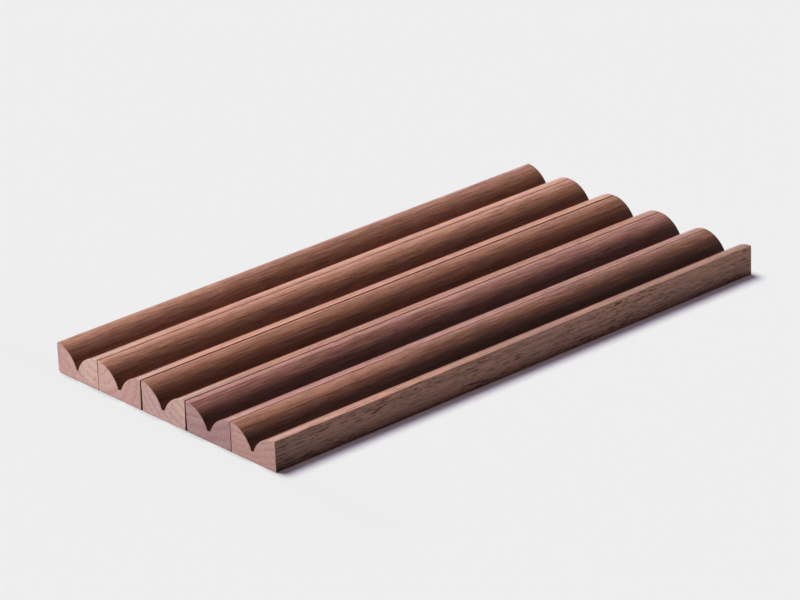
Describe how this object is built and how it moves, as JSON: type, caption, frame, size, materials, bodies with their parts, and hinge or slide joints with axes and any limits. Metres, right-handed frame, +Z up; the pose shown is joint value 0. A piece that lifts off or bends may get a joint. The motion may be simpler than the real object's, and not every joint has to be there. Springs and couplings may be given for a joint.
{
  "type": "pen tray",
  "caption": "Low desk tray of grooved walnut strips, held side by side by hidden disc magnets. Each open-ended groove cradles one pen, and a strip pulls off sideways.",
  "frame": {"origin": "on the surface that the tray stands on, under the middle of the row", "axes": "+X across the row from the first strip to the last, +Y along the grooves, +Z up"},
  "size_m": [0.1082, 0.212, 0.0105],
  "materials": {
    "walnut_1": "satin",
    "walnut_2": "satin",
    "walnut_3": "satin",
    "walnut_4": "satin",
    "walnut_5": "satin",
    "magnet_nickel": "satin"
  },
  "bodies": {
    "module_1": {"strip_1": "walnut_1", "strip_1_right_front_magnet": "magnet_nickel", "strip_1_right_rear_magnet": "magnet_nickel"},
    "module_2": {"strip_2": "walnut_2", "strip_2_left_front_magnet": "magnet_nickel", "strip_2_left_rear_magnet": "magnet_nickel", "strip_2_right_front_magnet": "magnet_nickel", "strip_2_right_rear_magnet": "magnet_nickel"},
    "module_3": {"strip_3": "walnut_3", "strip_3_left_front_magnet": "magnet_nickel", "strip_3_left_rear_magnet": "magnet_nickel", "strip_3_right_front_magnet": "magnet_nickel", "strip_3_right_rear_magnet": "magnet_nickel"},
    "module_4": {"strip_4": "walnut_4", "strip_4_left_front_magnet": "magnet_nickel", "strip_4_left_rear_magnet": "magnet_nickel", "strip_4_right_front_magnet": "magnet_nickel", "strip_4_right_rear_magnet": "magnet_nickel"},
    "module_5": {"strip_5": "walnut_5", "strip_5_left_front_magnet": "magnet_nickel", "strip_5_left_rear_magnet": "magnet_nickel"}
  },
  "joints": [
    {"name": "module_2_pull", "type": "slide", "parent": "module_3", "child": "module_2", "axis": [-1, 0, 0], "range_m": [0, 0.03]},
    {"name": "module_1_pull", "type": "slide", "parent": "module_2", "child": "module_1", "axis": [-1, 0, 0], "range_m": [0, 0.03]},
    {"name": "module_4_pull", "type": "slide", "parent": "module_3", "child": "module_4", "axis": [1, 0, 0], "range_m": [0, 0.03]},
    {"name": "module_5_pull", "type": "slide", "parent": "module_4", "child": "module_5", "axis": [1, 0, 0], "range_m": [0, 0.03]}
  ]
}
